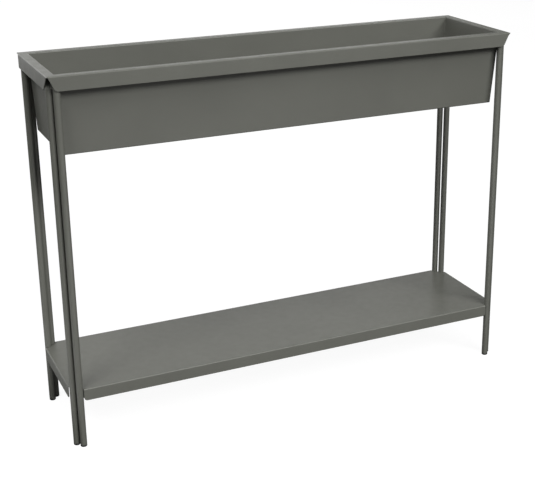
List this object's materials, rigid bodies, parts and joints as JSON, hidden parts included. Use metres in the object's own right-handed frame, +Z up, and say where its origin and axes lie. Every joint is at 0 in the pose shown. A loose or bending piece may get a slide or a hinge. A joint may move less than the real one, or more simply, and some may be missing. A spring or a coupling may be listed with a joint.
{
  "type": "raised planter",
  "caption": "Long narrow metal plant trough with a wide rim, resting in a slim frame with paired round legs at each corner and a low shelf.",
  "frame": {"origin": "on the floor, under the middle of the planter", "axes": "+X along the length to the right, +Y to the rear, +Z up; the front faces -Y"},
  "size_m": [1, 0.254, 0.762],
  "materials": {
    "trough_coat": "satin powder coat, dark grey-green",
    "leg_coat": "satin powder coat, dark grey-green",
    "shelf_coat": "satin powder coat, dark grey-green",
    "zinc": "bright zinc",
    "foot_plastic": "matte",
    "plug_rubber": "matte"
  },
  "bodies": {
    "stand": {"hoop_front": "leg_coat", "hoop_rear": "leg_coat", "hoop_left": "leg_coat", "hoop_right": "leg_coat", "leg_ties": "leg_coat", "bracket_front_left": "leg_coat", "bracket_front_right": "leg_coat", "bracket_rear_left": "leg_coat", "bracket_rear_right": "leg_coat", "shelf_tray": "shelf_coat", "shelf_rib": "shelf_coat", "shelf_studs": "zinc", "shelf_nuts": "zinc", "foot_long_front_left": "foot_plastic", "foot_long_front_right": "foot_plastic", "foot_long_rear_left": "foot_plastic", "foot_long_rear_right": "foot_plastic", "foot_short_front_left": "foot_plastic", "foot_short_front_right": "foot_plastic", "foot_short_rear_left": "foot_plastic", "foot_short_rear_right": "foot_plastic"},
    "trough": {"trough_wrap": "trough_coat", "end_panel_left": "trough_coat", "end_panel_right": "trough_coat"},
    "plug_left": {"drain_plug_left": "plug_rubber"},
    "plug_centre": {"drain_plug_centre": "plug_rubber"},
    "plug_right": {"drain_plug_right": "plug_rubber"}
  },
  "joints": [
    {"name": "trough_lift", "type": "slide", "parent": "stand", "child": "trough", "axis": [0, 0, 1], "range_m": [0, 0.2]},
    {"name": "plug_left_pull", "type": "slide", "parent": "trough", "child": "plug_left", "axis": [0, 0, 1], "range_m": [0, 0.06]},
    {"name": "plug_centre_pull", "type": "slide", "parent": "trough", "child": "plug_centre", "axis": [0, 0, 1], "range_m": [0, 0.06]},
    {"name": "plug_right_pull", "type": "slide", "parent": "trough", "child": "plug_right", "axis": [0, 0, 1], "range_m": [0, 0.06]}
  ]
}
